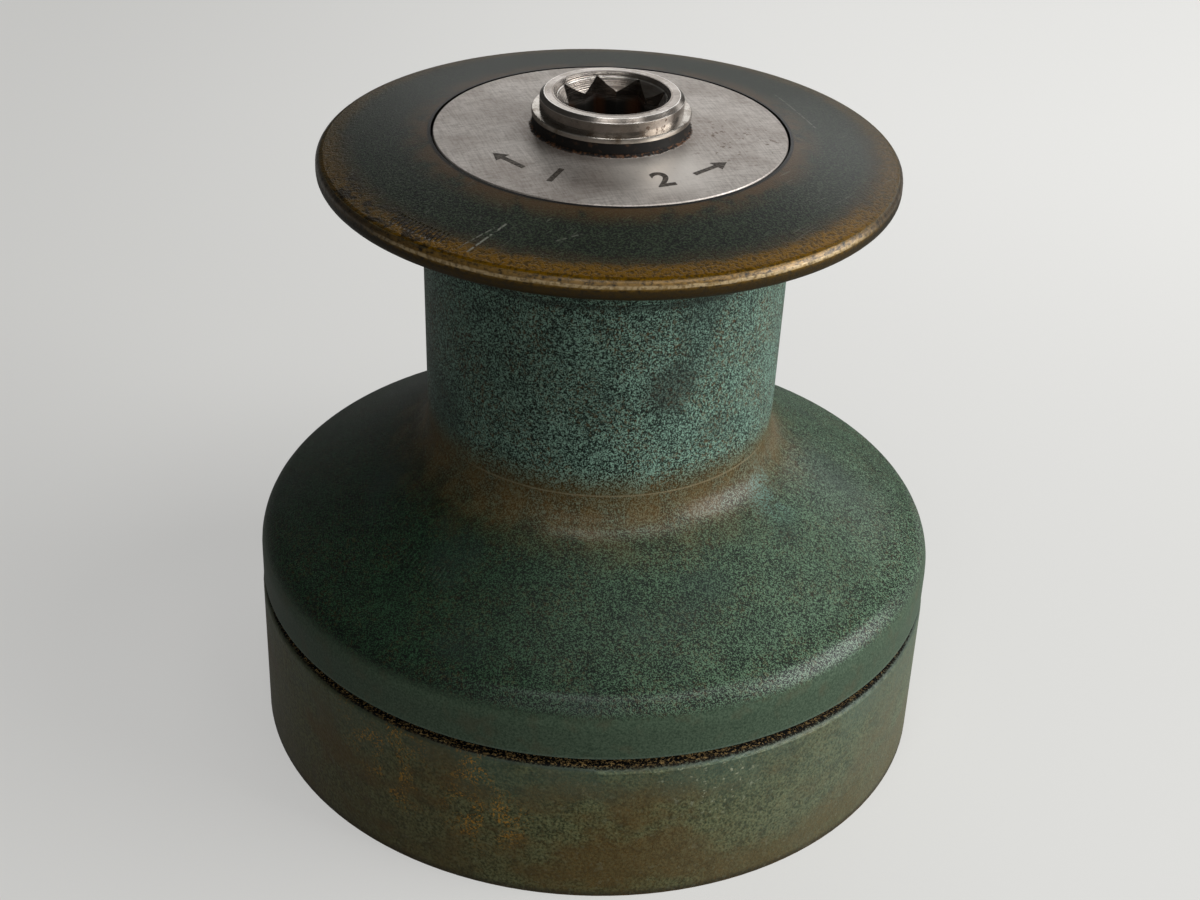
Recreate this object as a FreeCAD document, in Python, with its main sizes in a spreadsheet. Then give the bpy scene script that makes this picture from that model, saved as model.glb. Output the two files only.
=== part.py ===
import FreeCAD, Part
import math
import os
import Sketcher

# Two-speed sheet winch in patinated bronze. Millimetres, +Z up the drum's axis.
# The origin is the centre of the base's underside, on the deck.

DRIVING_SIZES = {
    # clearances
    "running_gap": 0.05,
    "face_gap": 0.1,
    "seat_gap": 0.02,
    # gears, their pins and their pawls
    "tooth_module": 2.0,
    "gear_face": 9.4,
    "level_gap": 2.1,
    "ring_level_gap": 1.6,
    "second_pin_radius": 6.0,
    "idler_pin_radius": 5.0,
    "pin_cover": 1.5,
    "pin_boss_wall": 2.5,
    "pinion_neck_wall": 4.0,
    "carrier_radius": 18.0,
    "carrier_lip": 4.0,
    "carrier_lip_depth": 1.0,
    "ratchet_gap": 0.3,
    "ratchet_depth": 2.2,
    "pawl_heel_radius": 2.4,
    "pawl_heel_inset": 3.2,
    "pawl_tip_inset": 0.2,
    "pawl_thickness": 1.6,
    "pawl_spring_room": 1.2,
    # base casting
    "floor_depth": 8.0,
    "boss_lift": 3.5,
    "recess_depth": 3.0,
    "recess_land": 13.5,
    "base_wall": 3.5,
    "base_edge_round": 1.2,
    "base_gap": 2.8,
    "spigot_gap": 0.8,
    "spigot_wall": 3.5,
    "spigot_height": 8.4,
    "spigot_clearance": 1.5,
    "foot_bush_wall": 3.0,
    "centre_boss_wall": 4.0,
    "bolt_edge": 14.4,
    "bolt_hole_radius": 4.2,
    "bolt_head_radius": 8.0,
    "pillar_radius": 7.0,
    "pillar_edge": 13.0,
    # centre stem, its screws and its bushes
    "flange_clearance": 1.1,
    "flange_depth": 5.5,
    "flange_edge": 2.4,
    "stem_wall": 7.0,
    "stem_shoulder": 4.0,
    "stem_head": 5.0,
    "screw_radius": 4.0,
    "screw_head_radius": 7.5,
    "screw_length": 22.0,
    "head_bush_wall": 3.1,
    "head_bush_length": 22.0,
    "head_bush_lip": 1.5,
    "head_bush_step": 2.0,
    # roller bearings and thrust washer
    "roller_diameter": 8.0,
    "roller_length": 24.0,
    "roller_lift": 6.0,
    "cage_rim": 2.0,
    "cage_inner_gap": 1.0,
    "cage_outer_gap": 0.9,
    "cage_window_gap": 0.2,
    "spacer_length": 22.0,
    "spacer_step": 1.0,
    "thrust_washer_depth": 2.0,
    "thrust_washer_inset": 5.0,
    "thrust_washer_edge": 1.0,
    # drum casting and ring gear
    "ring_wall": 4.4,
    "ring_rise": 0.2,
    "ring_let_in": 7.0,
    "rim_wall": 2.4,
    "skirt_gap": 0.7,
    "skirt_wall": 3.3,
    "skirt_step": 0.2,
    "skirt_height": 12.0,
    "shoulder_lift": 0.4,
    "shoulder_round": 9.0,
    "shoulder_wall": 6.0,
    "cavity_gap": 2.6,
    "hub_land": 7.9,
    "hub_draft": 1.0,
    "neck_wall": 6.6,
    "neck_taper": 1.0,
    "neck_foot_round": 10.1,
    "neck_top_round": 9.0,
    "lip_reach": 23.2,
    "lip_rise": 9.33,
    "lip_depth": 4.14,
    "lip_flat": 0.1,
    "crown_drop": 4.63,
    # top cap
    "cap_lift": 7.1,
    "cap_ledge": 5.6,
    "cap_gap": 0.2,
    "cap_depth": 3.0,
    "cap_bore_gap": 0.5,
    "cap_boss_reach": 1.7,
    "cap_boss_depth": 1.8,
    # spindle, its washer and its circlip
    "spindle_radius": 15.9,
    "shaft_radius": 11.0,
    "journal_radius": 9.0,
    "foot_proud": 1.0,
    "head_lead": 8.0,
    "collar_height": 3.6,
    "collar_chamfer": 0.9,
    "socket_square": 17.46,
    "socket_mouth_step": 0.55,
    "socket_depth": 32.0,
    "washer_reach": 1.5,
    "washer_depth": 2.3,
    "circlip_reach": 1.7,
    "circlip_depth": 1.3,
    "circlip_groove": 1.0,
    "circlip_split": 4.0,
}

RING_TEETH = 64
FIRST_GEAR_TEETH = 30
SECOND_GEAR_TEETH = 30
SECOND_PINION_TEETH = 20
SPINDLE_TEETH = 14
IDLER_TEETH = 12
RATCHET_TEETH = 12
PAWLS_PER_CARRIER = 2
ROLLERS_PER_CAGE = 10
BOLT_COUNT = 5

# Tooth proportions, as shares of the module.
TOOTH_ADDENDUM = 0.8
TOOTH_DEDENDUM = 1.05
TOOTH_BACKLASH = 0.15

# Angles in degrees, bearings counted from +X.
PRESSURE_ANGLE = 25.0
SHOULDER_SLOPE = 30.0
SECOND_GEAR_DIRECTION = 90.0
OUTER_IDLER_DIRECTION = 234.0
PILLAR_DIRECTIONS = (20.0, 160.0, 200.0, 308.0)
FIRST_BOLT_DIRECTION = 54.0
STAR_DIRECTION = 17.0
PAWL_SWEEP = 40.0


class Size:
    """A length with the sheet expression that gives it."""

    def __init__(self, value, text):
        self.value = value
        self.text = text

    def __add__(self, other):
        other = as_size(other)
        return Size(self.value + other.value, f"({self.text} + {other.text})")

    def __sub__(self, other):
        other = as_size(other)
        return Size(self.value - other.value, f"({self.text} - {other.text})")

    def __mul__(self, other):
        other = as_size(other)
        return Size(self.value * other.value, f"({self.text} * {other.text})")

    def __truediv__(self, other):
        other = as_size(other)
        return Size(self.value / other.value, f"({self.text} / {other.text})")

    def __neg__(self):
        return Size(-self.value, f"(-{self.text})")


def as_size(length):
    return length if isinstance(length, Size) else Size(float(length), repr(float(length)))


doc = FreeCAD.newDocument("sheet_winch")
sheet = doc.addObject("Spreadsheet::Sheet", "Sizes")


class Sizes:
    """The driving sizes by name, each bound to its cell."""


s = Sizes()
for row, (name, value) in enumerate(DRIVING_SIZES.items(), start=1):
    sheet.set(f"A{row}", name)
    sheet.set(f"B{row}", str(value))
    sheet.setAlias(f"B{row}", name)
    setattr(s, name, Size(float(value), f"Sizes.{name}"))
doc.recompute()

# Radii, worked out from the axis outwards: the spindle sets the stem and the drum's neck,
# and the ring gear sets the drum's rim, the base's spigot and the skirt outside it.

module = s.tooth_module
bush_radius = s.journal_radius + s.foot_bush_wall
centre_boss_radius = bush_radius + s.centre_boss_wall
stem_bore_radius = s.spindle_radius + s.head_bush_wall
stem_radius = stem_bore_radius + s.stem_wall
stem_shoulder_radius = stem_radius + s.stem_shoulder
drum_bore_radius = stem_radius + s.roller_diameter + s.running_gap * 2
hub_radius = drum_bore_radius + s.hub_land
neck_foot_radius = drum_bore_radius + s.neck_wall
neck_top_radius = neck_foot_radius + s.neck_taper
lip_radius = neck_top_radius + s.lip_reach
cap_seat_radius = drum_bore_radius + s.cap_ledge

ring_pitch_radius = module * RING_TEETH / 2
ring_tip_radius = ring_pitch_radius - module * TOOTH_ADDENDUM
ring_outer_radius = ring_pitch_radius + module * TOOTH_DEDENDUM + s.ring_wall
rim_radius = ring_outer_radius + s.rim_wall
spigot_inside = rim_radius + s.spigot_gap
spigot_radius = spigot_inside + s.spigot_wall
skirt_inside = spigot_radius + s.skirt_gap
skirt_radius = skirt_inside + s.skirt_wall
base_radius = skirt_radius + s.skirt_step
base_inside = base_radius - s.base_wall
bolt_circle_radius = base_inside - s.bolt_edge
recess_radius = bolt_circle_radius - s.recess_land
flange_radius = ring_tip_radius - s.flange_edge
cavity_radius = flange_radius + s.cavity_gap
pillar_circle_radius = flange_radius - s.pillar_edge

# Levels, worked out from the deck upwards.

floor_top = s.floor_depth
low_boss_top = floor_top + s.boss_lift
low_gear_bottom = low_boss_top + s.carrier_lip_depth
low_gear_top = low_gear_bottom + s.gear_face
middle_gear_bottom = low_gear_top + s.level_gap
middle_gear_top = middle_gear_bottom + s.gear_face
ring_gear_bottom = middle_gear_top + s.ring_level_gap
ring_gear_top = ring_gear_bottom + s.gear_face
ring_seat = ring_gear_top + s.ring_rise
flange_under = ring_gear_top + s.flange_clearance
flange_top = flange_under + s.flange_depth
thrust_top = flange_top + s.thrust_washer_depth
hub_face = thrust_top + s.face_gap
lower_roller_bottom = thrust_top + s.roller_lift
spacer_bottom = lower_roller_bottom + s.roller_length + s.cage_rim
spacer_top = spacer_bottom + s.spacer_length
upper_roller_bottom = spacer_top + s.cage_rim
stem_top = upper_roller_bottom + s.roller_length + s.cage_rim + s.stem_head
cap_seat = stem_top + s.cap_lift
crown_top = cap_seat + s.cap_depth
lip_top = crown_top - s.crown_drop
lip_bottom = lip_top - s.lip_depth
neck_top_height = lip_bottom - s.lip_rise
shoulder_corner_height = flange_top + s.shoulder_lift
skirt_bottom = shoulder_corner_height - s.skirt_height
base_height = skirt_bottom - s.base_gap
spigot_top = base_height + s.spigot_height
groove_top = spigot_top + s.spigot_clearance

pieces = []


def new_body(label):
    body = doc.addObject("PartDesign::Body", label)
    body.Label = label
    pieces.append(body)
    return body


def bind(thing, path, length):
    thing.setExpression(path, as_size(length).text)


def place(body, across, along, turn=0.0):
    """Stand a body at a point of the base, turned about its own upright axis."""
    across, along = as_size(across), as_size(along)
    upright = FreeCAD.Rotation(FreeCAD.Vector(0, 0, 1), turn)
    body.Placement = FreeCAD.Placement(FreeCAD.Vector(across.value, along.value, 0), upright)
    bind(body, "Placement.Base.x", across)
    bind(body, "Placement.Base.y", along)


def new_sketch(body, name, role, height=None):
    sketch = body.newObject("Sketcher::SketchObject", name)
    plane = next(part for part in body.Origin.OriginFeatures if part.Role == role)
    sketch.AttachmentSupport = [(plane, "")]
    sketch.MapMode = "FlatFace"
    if height is not None:
        bind(sketch, "AttachmentOffset.Base.z", height)
    return sketch


def fix_point(sketch, edge, end, across, up):
    for kind, length in (("DistanceX", across), ("DistanceY", up)):
        length = as_size(length)
        index = sketch.addConstraint(Sketcher.Constraint(kind, -1, 1, edge, end, length.value))
        sketch.setExpression(f"Constraints[{index}]", length.text)


def draw_outline(sketch, corners):
    """A closed outline of straight lines, each corner held by its own two sizes."""
    corners = [(as_size(across), as_size(up)) for across, up in corners]
    points = [FreeCAD.Vector(across.value, up.value, 0) for across, up in corners]
    count = len(points)
    for i in range(count):
        sketch.addGeometry(Part.LineSegment(points[i], points[(i + 1) % count]))
    for i in range(count):
        sketch.addConstraint(Sketcher.Constraint("Coincident", i, 2, (i + 1) % count, 1))
    for i, (across, up) in enumerate(corners):
        fix_point(sketch, i, 1, across, up)


def draw_circle(sketch, across, along, radius):
    across, along, radius = as_size(across), as_size(along), as_size(radius)
    centre = FreeCAD.Vector(across.value, along.value, 0)
    edge = sketch.addGeometry(Part.Circle(centre, FreeCAD.Vector(0, 0, 1), radius.value))
    fix_point(sketch, edge, 3, across, along)
    index = sketch.addConstraint(Sketcher.Constraint("Radius", edge, radius.value))
    sketch.setExpression(f"Constraints[{index}]", radius.text)


def turned(body, corners):
    """Revolve an outline of (radius, height) corners about the upright axis."""
    sketch = new_sketch(body, "TurnedOutline", "XZ_Plane")
    draw_outline(sketch, corners)
    feature = body.newObject("PartDesign::Revolution", "Turned")
    feature.Profile = sketch
    feature.ReferenceAxis = (sketch, ["V_Axis"])
    feature.Angle = 360
    return feature


def ring(body, inside, outside, bottom, top):
    """Turn a plain ring."""
    return turned(body, [(inside, bottom), (outside, bottom), (outside, top), (inside, top)])


def padded(body, name, sketch, length):
    feature = body.newObject("PartDesign::Pad", name)
    feature.Profile = sketch
    bind(feature, "Length", length)
    return feature


def pocketed(body, name, sketch, length):
    """Cut downwards from the sketch."""
    feature = body.newObject("PartDesign::Pocket", name)
    feature.Profile = sketch
    bind(feature, "Length", length)
    return feature


def around(body, name, feature, count):
    pattern = body.newObject("PartDesign::PolarPattern", name)
    pattern.Originals = [feature]
    pattern.Axis = (feature.Profile[0], ["N_Axis"])
    pattern.Angle = 360
    pattern.Occurrences = count
    body.Tip = pattern
    return pattern


def circles_at(body, name, height, circles):
    sketch = new_sketch(body, name, "XY_Plane", height)
    for across, along, radius in circles:
        draw_circle(sketch, across, along, radius)
    return sketch


def outline_at(body, name, height, corners):
    sketch = new_sketch(body, name, "XY_Plane", height)
    draw_outline(sketch, corners)
    return sketch


def countersunk_holes(body, name, height, centres, hole_radius, head_radius):
    """Through holes with countersinks that open upwards at the height."""
    rings = circles_at(body, name + "Rings", height, [(*centre, hole_radius) for centre in centres])
    doc.recompute()
    hole = body.newObject("PartDesign::Hole", name)
    hole.Profile = rings
    doc.recompute()
    hole.DepthType = "ThroughAll"
    bind(hole, "Diameter", hole_radius * 2)
    hole.HoleCutType = "Countersink"
    hole.HoleCutCustomValues = True
    bind(hole, "HoleCutDiameter", head_radius * 2)
    hole.HoleCutCountersinkAngle = 90
    return hole


def polar(distance, degrees):
    """The point at a distance from the axis in a direction, as two sizes."""
    distance = as_size(distance)
    return distance * math.cos(math.radians(degrees)), distance * math.sin(math.radians(degrees))


def edge_circles(shape, radius, height):
    """Names of the shape's round edges about the upright axis at a radius and height."""
    near = 0.01
    names = []
    for number, edge in enumerate(shape.Edges, start=1):
        curve = edge.Curve
        if not isinstance(curve, Part.Circle):
            continue
        on_axis = math.hypot(curve.Center.x, curve.Center.y) < near
        level = abs(curve.Center.z - height.value) < near
        if on_axis and level and abs(curve.Radius - radius.value) < near:
            names.append(f"Edge{number}")
    return names


def rounded(body, name, radius, rings):
    """Round the circular edges at the given (radius, height) pairs."""
    doc.recompute()
    base = body.Tip
    names = []
    for ring_radius, height in rings:
        names += edge_circles(base.Shape, ring_radius, height)
    feature = body.newObject("PartDesign::Fillet", name)
    feature.Base = (base, names)
    bind(feature, "Radius", radius)
    return feature


# The gear train. Every gear has the same module, and the centres follow from the tooth counts.

tip_extra = module * TOOTH_ADDENDUM
outer_idler_centre = ring_pitch_radius - module * IDLER_TEETH / 2
inner_idler_centre = module * (FIRST_GEAR_TEETH + IDLER_TEETH) / 2
second_gear_centre = module * (SPINDLE_TEETH + SECOND_GEAR_TEETH) / 2
idler_spread = math.degrees(math.acos(
    (inner_idler_centre.value ** 2 + outer_idler_centre.value ** 2 - (module.value * IDLER_TEETH) ** 2)
    / (2 * inner_idler_centre.value * outer_idler_centre.value)
))
INNER_IDLER_DIRECTION = OUTER_IDLER_DIRECTION + idler_spread
second_gear_at = polar(second_gear_centre, SECOND_GEAR_DIRECTION)
outer_idler_at = polar(outer_idler_centre, OUTER_IDLER_DIRECTION)
inner_idler_at = polar(inner_idler_centre, INNER_IDLER_DIRECTION)


def involute(angle):
    return math.tan(angle) - angle


def draw_tooth_gap(sketch, teeth, internal=False):
    """One gap between two teeth, centred on the sketch's +X direction."""
    pressure = math.radians(PRESSURE_ANGLE)
    pitch_radius = teeth * module.value / 2
    base_circle = pitch_radius * math.cos(pressure)
    side = 1 if internal else -1
    root = pitch_radius + side * TOOTH_DEDENDUM * module.value
    tip = pitch_radius - side * TOOTH_ADDENDUM * module.value
    past_tip = tip - side * module.value / 4
    play = TOOTH_BACKLASH * module.value / (4 * pitch_radius)

    def half_gap(radius):
        """Half the gap's angle at a radius: a flank turns in along its involute."""
        flank = involute(pressure) - involute(math.acos(min(1.0, base_circle / radius)))
        return math.pi / (2 * teeth) + play + side * flank

    def point(radius, turn):
        return FreeCAD.Vector(radius * math.cos(turn), radius * math.sin(turn), 0)

    start = root if internal else max(root, base_circle)
    middle = (start + tip) / 2
    edges = []
    for hand in (1, -1):
        root_point = point(root, hand * half_gap(start))
        start_point = point(start, hand * half_gap(start))
        tip_point = point(tip, hand * half_gap(tip))
        if start > root:
            edges.append(Part.LineSegment(root_point, start_point))
        edges.append(Part.Arc(start_point, point(middle, hand * half_gap(middle)), tip_point))
        edges.append(Part.LineSegment(tip_point, point(past_tip, hand * half_gap(tip))))
    edges.append(Part.LineSegment(point(past_tip, half_gap(tip)), point(past_tip, -half_gap(tip))))
    edges.append(Part.Arc(point(root, -half_gap(start)), point(root, 0), point(root, half_gap(start))))
    sketch.addGeometry(edges)
    for index in range(len(edges)):
        sketch.addConstraint(Sketcher.Constraint("Block", index))


def cut_teeth(body, teeth, bottom, top, internal=False):
    """Cut a gap down from the top of the toothed band and repeat it round the gear."""
    sketch = new_sketch(body, "ToothGap", "XY_Plane", top)
    draw_tooth_gap(sketch, teeth, internal)
    gap = pocketed(body, "ToothGapCut", sketch, top - bottom)
    return around(body, "Teeth", gap, teeth)


def gear_tip(teeth):
    return module * teeth / 2 + tip_extra


def mating_turn(other_turn, other_teeth, direction, teeth, internal=False):
    """Turn of a gear, which at zero has a gap on its own +X, that meshes with one already turned.

    direction is the bearing from the other gear's centre to this one's."""
    other_pitch = 360.0 / other_teeth
    pitch = 360.0 / teeth
    lead = (direction - other_turn) % other_pitch / other_pitch
    if internal:
        return direction - lead * pitch + pitch / 2
    return direction + 180 + lead * pitch + pitch / 2


# Pawls: two to a carrier, each a flat tooth that swings on a round heel in its own pocket.
# They lie folded into the carrier, with room for a spring behind them.

pawl_heel_circle = s.carrier_radius - s.pawl_heel_inset
pawl_outside = s.carrier_radius - s.pawl_tip_inset
PAWL_HEEL_BACK = 6.0
PAWL_HEEL_FRONT = 3.0
POCKET_SPARE = 6.0


def cut_pawl_pockets(body, bottom, top, hand):
    """Cut the heel bores and the slots in front of them, opening towards the hand's side."""
    heel = circles_at(body, "HeelBore", top, [(pawl_heel_circle, 0, s.pawl_heel_radius + s.face_gap)])
    around(body, "HeelBores", pocketed(body, "HeelBoreCut", heel, top - bottom), PAWLS_PER_CARRIER)
    back = pawl_heel_circle - s.pawl_heel_radius - s.face_gap * 2
    tip_back = pawl_outside - s.pawl_thickness - s.pawl_spring_room
    past_rim = s.carrier_radius + s.carrier_lip
    slot = outline_at(body, "PawlSlot", top, [
        (pawl_heel_circle, 0),
        polar(back, hand * PAWL_HEEL_BACK),
        polar(tip_back, hand * (PAWL_SWEEP + POCKET_SPARE)),
        polar(past_rim, hand * (PAWL_SWEEP + POCKET_SPARE)),
        polar(past_rim, hand * PAWL_HEEL_FRONT),
    ])
    around(body, "PawlSlots", pocketed(body, "PawlSlotCut", slot, top - bottom), PAWLS_PER_CARRIER)


def pawl(label, bottom, top, hand, across, along, turn):
    piece = new_body(label)
    foot = bottom + s.face_gap
    height = top - bottom - s.face_gap * 2
    heel = circles_at(piece, "Heel", foot, [(pawl_heel_circle, 0, s.pawl_heel_radius)])
    padded(piece, "HeelPad", heel, height)
    leaf = outline_at(piece, "Leaf", foot, [
        polar(pawl_heel_circle + s.pawl_heel_radius - s.face_gap * 2, hand * PAWL_HEEL_FRONT),
        polar(pawl_outside, hand * PAWL_SWEEP),
        polar(pawl_outside - s.pawl_thickness, hand * (PAWL_SWEEP + 2)),
        polar(pawl_heel_circle - s.pawl_heel_radius + s.face_gap * 5, hand * PAWL_HEEL_BACK),
    ])
    padded(piece, "LeafPad", leaf, height)
    place(piece, across, along, turn)


# Base: one bronze casting with its outer wall, a spigot that the drum's skirt runs outside,
# a floor drilled for the deck bolts, and pillars that carry the stem's flange.

ledge_under = base_height - s.base_wall
base_casting = new_body("base_casting")
turned(base_casting, [
    (bush_radius, s.recess_depth),
    (recess_radius, s.recess_depth),
    (recess_radius, 0),
    (base_radius, 0),
    (base_radius, base_height),
    (spigot_radius, base_height),
    (spigot_radius, spigot_top),
    (spigot_inside, spigot_top),
    (spigot_inside, ledge_under),
    (base_inside, ledge_under - (base_inside - spigot_inside)),
    (base_inside, floor_top),
    (centre_boss_radius, floor_top),
    (centre_boss_radius, low_boss_top),
    (bush_radius, low_boss_top),
])
pillars_at = [polar(pillar_circle_radius, degrees) for degrees in PILLAR_DIRECTIONS]
bolts_at = [
    polar(bolt_circle_radius, FIRST_BOLT_DIRECTION + 360.0 * i / BOLT_COUNT)
    for i in range(BOLT_COUNT)
]
gear_pins = (
    ("second_gear_pin", second_gear_at, s.second_pin_radius, low_boss_top),
    ("inner_idler_pin", inner_idler_at, s.idler_pin_radius, middle_gear_bottom - s.face_gap),
    ("outer_idler_pin", outer_idler_at, s.idler_pin_radius, middle_gear_bottom - s.face_gap),
)
boss_root = floor_top / 2
pillar_rings = [(*centre, s.pillar_radius) for centre in pillars_at]
pillar_sketch = circles_at(base_casting, "PillarRings", boss_root, pillar_rings)
padded(base_casting, "Pillars", pillar_sketch, flange_under - boss_root)
pin_foot = s.recess_depth + s.pin_cover
for label, centre, radius, boss_top in gear_pins:
    boss_sketch = circles_at(base_casting, f"Boss_{label}", boss_root, [(*centre, radius + s.pin_boss_wall)])
    padded(base_casting, f"BossPad_{label}", boss_sketch, boss_top - boss_root)
    seat_sketch = circles_at(base_casting, f"Seat_{label}", boss_top, [(*centre, radius + s.seat_gap)])
    pocketed(base_casting, f"SeatCut_{label}", seat_sketch, boss_top - pin_foot)
screw_foot = flange_top - s.screw_length
screw_rings = [(*centre, s.screw_radius + s.seat_gap) for centre in pillars_at]
screw_sketch = circles_at(base_casting, "ScrewSeatRings", flange_under, screw_rings)
pocketed(base_casting, "ScrewSeats", screw_sketch, flange_under - screw_foot)
countersunk_holes(base_casting, "BoltHoles", floor_top, bolts_at, s.bolt_hole_radius, s.bolt_head_radius)
rounded(base_casting, "TopEdge", s.base_edge_round, [(base_radius, base_height)])

# Centre stem: a bronze tube on a flange, screwed down on the base's pillars.

stem_shoulder_top = lower_roller_bottom - s.cage_rim - s.face_gap
stem = new_body("centre_stem")
turned(stem, [
    (stem_bore_radius, flange_under),
    (flange_radius, flange_under),
    (flange_radius, flange_top),
    (stem_shoulder_radius, flange_top),
    (stem_shoulder_radius, stem_shoulder_top),
    (stem_radius, stem_shoulder_top),
    (stem_radius, stem_top),
    (stem_bore_radius, stem_top),
])
for label, centre, radius, boss_top in gear_pins:
    bore_sketch = circles_at(stem, f"Bore_{label}", flange_top, [(*centre, radius + s.seat_gap)])
    pocketed(stem, f"BoreCut_{label}", bore_sketch, s.flange_depth)
screw_hole_radius = s.screw_radius + s.seat_gap
screw_cone_radius = s.screw_head_radius + s.seat_gap
countersunk_holes(stem, "ScrewHoles", flange_top, pillars_at, screw_hole_radius, screw_cone_radius)

# Stem screws: countersunk, flush with the flange's top.

screw_head_depth = s.screw_head_radius - s.screw_radius
for number, centre in enumerate(pillars_at, start=1):
    screw = new_body(f"stem_screw_{number}")
    turned(screw, [
        (0, screw_foot),
        (s.screw_radius, screw_foot),
        (s.screw_radius, flange_top - screw_head_depth),
        (s.screw_head_radius, flange_top),
        (0, flange_top),
    ])
    place(screw, *centre)

# Gear pins: plain stainless pins between blind seats in the base and the stem's flange.

for label, centre, radius, boss_top in gear_pins:
    pin = new_body(label)
    ring(pin, 0, radius, pin_foot, flange_top)
    place(pin, *centre)

# Bushes that carry the spindle at its foot and under its head.

foot_bush = new_body("foot_bush")
journal_bore = s.journal_radius + s.running_gap
turned(foot_bush, [
    (journal_bore, s.recess_depth),
    (bush_radius, s.recess_depth),
    (bush_radius, low_boss_top),
    (centre_boss_radius, low_boss_top),
    (centre_boss_radius, low_gear_bottom - s.face_gap),
    (journal_bore, low_gear_bottom - s.face_gap),
])
head_bush = new_body("head_bush")
head_bore = s.spindle_radius + s.running_gap
head_bush_bottom = stem_top - s.head_bush_length
turned(head_bush, [
    (head_bore, head_bush_bottom),
    (stem_bore_radius, head_bush_bottom),
    (stem_bore_radius, stem_top),
    (stem_radius - s.head_bush_step, stem_top),
    (stem_radius - s.head_bush_step, stem_top + s.head_bush_lip),
    (head_bore, stem_top + s.head_bush_lip),
])

# Bearings: a thrust washer under the drum's hub, and two cages of steel rollers on the stem
# with a spacer tube between them.

thrust_washer = new_body("thrust_washer")
thrust_inside = stem_shoulder_radius + s.thrust_washer_inset
ring(thrust_washer, thrust_inside, hub_radius - s.thrust_washer_edge, flange_top, thrust_top)
roller_radius = s.roller_diameter / 2
roller_circle = stem_radius + s.running_gap + roller_radius
cage_inside = stem_radius + s.cage_inner_gap
cage_outside = drum_bore_radius - s.cage_outer_gap


def roller_cage(label, roller_bottom):
    cage = new_body(label)
    roller_top = roller_bottom + s.roller_length
    ring(cage, cage_inside, cage_outside, roller_bottom - s.cage_rim, roller_top + s.cage_rim)
    half = roller_radius + s.cage_window_gap
    window = outline_at(cage, "Window", roller_top + s.face_gap, [
        (stem_bore_radius, -half),
        (neck_foot_radius, -half),
        (neck_foot_radius, half),
        (stem_bore_radius, half),
    ])
    window_cut = pocketed(cage, "WindowCut", window, s.roller_length + s.face_gap * 2)
    around(cage, "Windows", window_cut, ROLLERS_PER_CAGE)


def roller_set(label, roller_bottom):
    """The loose rollers of one cage as one piece, as many solids as rollers."""
    rollers = []
    for i in range(ROLLERS_PER_CAGE):
        across, along = polar(roller_circle, 360.0 * i / ROLLERS_PER_CAGE)
        roller = doc.addObject("Part::Cylinder", f"{label}_{i + 1}")
        bind(roller, "Radius", roller_radius)
        bind(roller, "Height", s.roller_length)
        bind(roller, "Placement.Base.x", across)
        bind(roller, "Placement.Base.y", along)
        bind(roller, "Placement.Base.z", roller_bottom)
        rollers.append(roller)
    group = doc.addObject("Part::Compound", label)
    group.Links = rollers
    group.Label = label
    pieces.append(group)


for level, roller_bottom in (("lower", lower_roller_bottom), ("upper", upper_roller_bottom)):
    roller_cage(f"{level}_roller_cage", roller_bottom)
    roller_set(f"{level}_rollers", roller_bottom)
bearing_spacer = new_body("bearing_spacer")
ring(bearing_spacer, cage_inside, cage_outside - s.spacer_step, spacer_bottom, spacer_top)

# Drum: a bronze casting, its skirt over the base's spigot, a flared shoulder, the neck that the
# rope winds on, and a crowned top flange with a recess for the steel cap.

slope = math.tan(math.radians(SHOULDER_SLOPE))
wall_drop = s.shoulder_wall / math.cos(math.radians(SHOULDER_SLOPE))


def cone_height(radius):
    """The height of the shoulder's outer cone at a radius."""
    return shoulder_corner_height + (skirt_radius - radius) * slope


neck_corner_height = cone_height(neck_foot_radius)
hub_outside = hub_radius + s.hub_draft
drum = new_body("drum_casting")
turned(drum, [
    (skirt_radius, skirt_bottom),
    (skirt_radius, shoulder_corner_height),
    (neck_foot_radius, neck_corner_height),
    (neck_top_radius, neck_top_height),
    (lip_radius, lip_bottom),
    (lip_radius, lip_top),
    (cap_seat_radius, crown_top),
    (cap_seat_radius, cap_seat),
    (drum_bore_radius, cap_seat),
    (drum_bore_radius, hub_face),
    (hub_radius, hub_face),
    (hub_outside, cone_height(hub_outside) - wall_drop),
    (cavity_radius, cone_height(cavity_radius) - wall_drop),
    (cavity_radius, ring_seat),
    (ring_outer_radius, ring_seat),
    (ring_outer_radius, ring_seat - s.ring_let_in),
    (rim_radius, ring_seat - s.ring_let_in),
    (rim_radius, groove_top),
    (skirt_inside, groove_top),
    (skirt_inside, skirt_bottom),
])
rounded(drum, "Shoulder", s.shoulder_round, [(skirt_radius, shoulder_corner_height)])
rounded(drum, "NeckFoot", s.neck_foot_round, [(neck_foot_radius, neck_corner_height)])
rounded(drum, "NeckTop", s.neck_top_round, [(neck_top_radius, neck_top_height)])
rounded(drum, "Lip", (s.lip_depth - s.lip_flat) / 2, [(lip_radius, lip_bottom), (lip_radius, lip_top)])

# Ring gear pressed up into the drum's rim, which the pinions drive from inside.

ring_gear = new_body("drum_ring_gear")
ring(ring_gear, ring_tip_radius, ring_outer_radius, ring_gear_bottom, ring_seat)
cut_teeth(ring_gear, RING_TEETH, ring_gear_bottom, ring_seat, internal=True)

# Top cap: a satin steel disc flush in the drum's crown, with a low boss at its bore.

cap_radius = cap_seat_radius - s.cap_gap
cap_bore = s.spindle_radius + s.cap_bore_gap
cap_boss_radius = s.spindle_radius + s.cap_boss_reach
cap_boss_top = crown_top + s.cap_boss_depth
cap = new_body("top_cap")
turned(cap, [
    (cap_bore, cap_seat),
    (cap_radius, cap_seat),
    (cap_radius, crown_top),
    (cap_boss_radius, crown_top),
    (cap_boss_radius, cap_boss_top),
    (cap_bore, cap_boss_top),
])

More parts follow.
